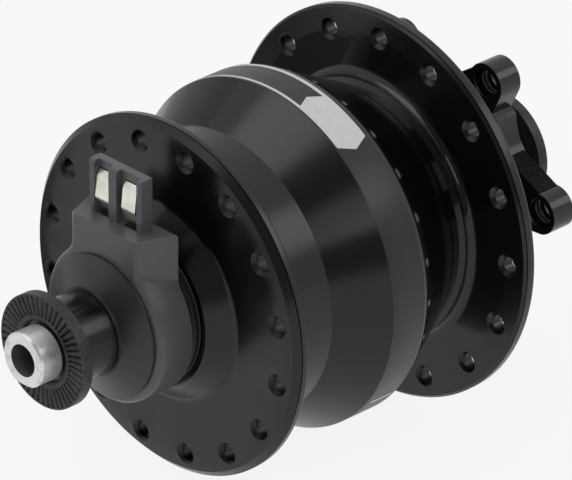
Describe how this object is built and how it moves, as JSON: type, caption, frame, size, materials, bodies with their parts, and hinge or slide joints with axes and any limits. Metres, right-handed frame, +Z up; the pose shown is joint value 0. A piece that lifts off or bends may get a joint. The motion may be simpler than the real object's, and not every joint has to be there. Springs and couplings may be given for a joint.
{
  "type": "hub dynamo",
  "caption": "Front bicycle hub with a built-in dynamo, a lamp connector on one side, drilled spoke flanges and lugs for a disc rotor.",
  "frame": {"origin": "on the axle's axis, midway between the two locknut faces", "axes": "+X forward, +Y along the axle to the disc rotor's side, +Z up through the lamp connector"},
  "size_m": [0.0656, 0.108, 0.0656],
  "materials": {
    "bright_steel": "turned",
    "dark_steel": "dark plated",
    "black_alloy": "black anodised satin",
    "black_washer": "black anodised satin",
    "grey_plastic": "moulded satin",
    "black_plastic": "moulded satin",
    "contact_metal": "tinned spring strip",
    "lead_insulation": "insulation",
    "black_rubber": "moulded",
    "soft_iron": "stamped",
    "bobbin_plastic": "moulded",
    "copper": "enamelled wire",
    "magnet": "nickel plated",
    "bearing_steel": "ground",
    "cage_brass": "pressed"
  },
  "bodies": {
    "axle_unit": {"axle": "bright_steel", "right_locknut": "dark_steel", "left_locknut": "dark_steel", "cone_washer": "black_washer", "connector_housing": "grey_plastic", "rear_contact": "contact_metal", "front_contact": "contact_metal", "lead_wires": "lead_insulation", "seal_ring": "black_rubber", "seal_washer": "bright_steel", "dust_shield": "black_plastic", "stator_nut": "bright_steel", "spacer_tube": "bright_steel", "core_sleeve": "soft_iron", "coil_bobbin": "bobbin_plastic", "coil_winding": "copper", "right_pole_plate": "soft_iron", "left_pole_plate": "soft_iron", "right_bearing_inner_ring": "bearing_steel", "left_bearing_inner_ring": "bearing_steel"},
    "hub_shell_unit": {"hub_shell": "black_alloy", "end_cap": "black_alloy", "cap_seal": "black_rubber", "flux_ring": "soft_iron", "magnets": "magnet", "right_bearing_outer_ring": "bearing_steel", "right_bearing_seals": "black_rubber", "left_bearing_outer_ring": "bearing_steel", "left_bearing_seals": "black_rubber"},
    "right_cage_unit": {"right_bearing_balls": "bearing_steel", "right_bearing_cage": "cage_brass"},
    "left_cage_unit": {"left_bearing_balls": "bearing_steel", "left_bearing_cage": "cage_brass"}
  },
  "joints": [
    {"name": "hub_spin", "type": "hinge", "parent": "axle_unit", "child": "hub_shell_unit", "pos_m": [0, 0, 0], "axis": [0, 1, 0], "continuous": true},
    {"name": "right_cage_spin", "type": "hinge", "parent": "axle_unit", "child": "right_cage_unit", "pos_m": [0, -0.0257, 0], "axis": [0, 1, 0], "continuous": true},
    {"name": "left_cage_spin", "type": "hinge", "parent": "axle_unit", "child": "left_cage_unit", "pos_m": [0, 0.0347, 0], "axis": [0, 1, 0], "continuous": true}
  ],
  "couplings": [
    {"joint": "right_cage_spin", "follows": "hub_spin", "ratio": 0.5647},
    {"joint": "left_cage_spin", "follows": "hub_spin", "ratio": 0.5923}
  ]
}
